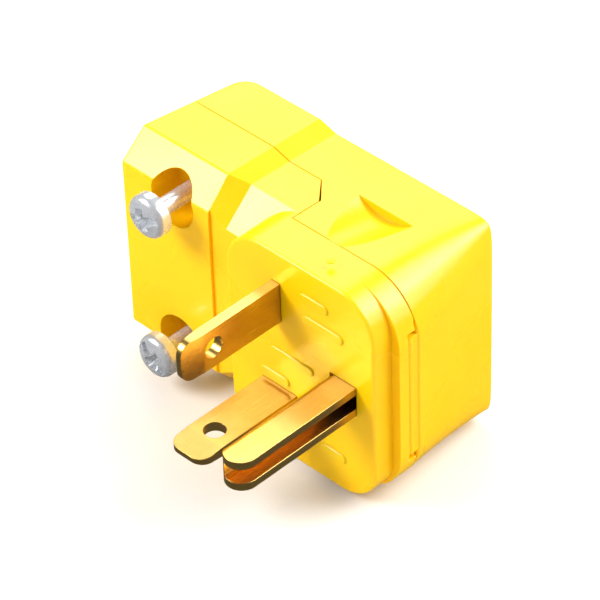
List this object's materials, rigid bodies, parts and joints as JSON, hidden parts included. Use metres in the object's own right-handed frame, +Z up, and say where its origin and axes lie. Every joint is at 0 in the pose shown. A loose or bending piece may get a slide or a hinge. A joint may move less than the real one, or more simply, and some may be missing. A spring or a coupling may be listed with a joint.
{
  "type": "right-angle attachment plug",
  "caption": "Right-angle grounding attachment plug with flat and turned line blades, a folded ground pin, a hinged rear cover and a screw cord clamp, shown with its clamp screws backed out.",
  "frame": {"origin": "on the outlet face, on the line blades' centre line, at half height", "axes": "+X along the housing towards the ground pin and hinge, away from the cord; +Y from the outlet face to the rear cover, so the blades point along -Y; +Z up, towards the turned neutral blade"},
  "size_m": [0.051, 0.0453, 0.0362],
  "materials": {
    "housing": "glossy moulded nylon",
    "insulator": "matte moulded phenolic",
    "blade_brass": "drawn brass",
    "terminal_brass": "satin brass",
    "nickel": "nickel plate",
    "green_screw": "green dyed plate",
    "screw_steel": "bright zinc plate",
    "zinc_steel": "zinc plate",
    "jaw_rubber": "matte",
    "fibre": "matte vulcanised fibre"
  },
  "bodies": {
    "front_half": {"front_body": "housing", "blade_retainer": "insulator", "neutral_blade": "blade_brass", "hot_blade": "blade_brass", "ground_pin": "blade_brass", "front_cord_jaw": "jaw_rubber", "upper_captive_washer": "fibre", "lower_captive_washer": "fibre", "upper_retainer_screw": "zinc_steel", "lower_retainer_screw": "zinc_steel"},
    "cover": {"rear_cover": "housing", "rear_cord_jaw": "jaw_rubber", "upper_square_nut": "zinc_steel", "lower_square_nut": "zinc_steel"},
    "upper_cord_screw": {"upper_cord_screw": "screw_steel"},
    "lower_cord_screw": {"lower_cord_screw": "screw_steel"},
    "neutral_terminal": {"neutral_terminal_screw": "nickel", "neutral_pressure_plate": "nickel"},
    "hot_terminal": {"hot_terminal_screw": "terminal_brass", "hot_pressure_plate": "terminal_brass"},
    "ground_terminal": {"ground_terminal_screw": "green_screw", "ground_pressure_plate": "terminal_brass"}
  },
  "joints": [
    {"name": "cover_hinge", "type": "hinge", "parent": "front_half", "child": "cover", "pos_m": [0.01835, 0.00575, 0], "axis": [0, 0, -1], "range_deg": [0, 75]},
    {"name": "upper_cord_screw_travel", "type": "slide", "parent": "front_half", "child": "upper_cord_screw", "axis": [0, 1, 0], "range_m": [0, 0.0083]},
    {"name": "lower_cord_screw_travel", "type": "slide", "parent": "front_half", "child": "lower_cord_screw", "axis": [0, 1, 0], "range_m": [0, 0.0083]},
    {"name": "neutral_terminal_travel", "type": "slide", "parent": "front_half", "child": "neutral_terminal", "axis": [0, 1, 0], "range_m": [0, 0.0024]},
    {"name": "hot_terminal_travel", "type": "slide", "parent": "front_half", "child": "hot_terminal", "axis": [0, 1, 0], "range_m": [0, 0.0024]},
    {"name": "ground_terminal_travel", "type": "slide", "parent": "front_half", "child": "ground_terminal", "axis": [0, 1, 0], "range_m": [0, 0.0024]}
  ]
}
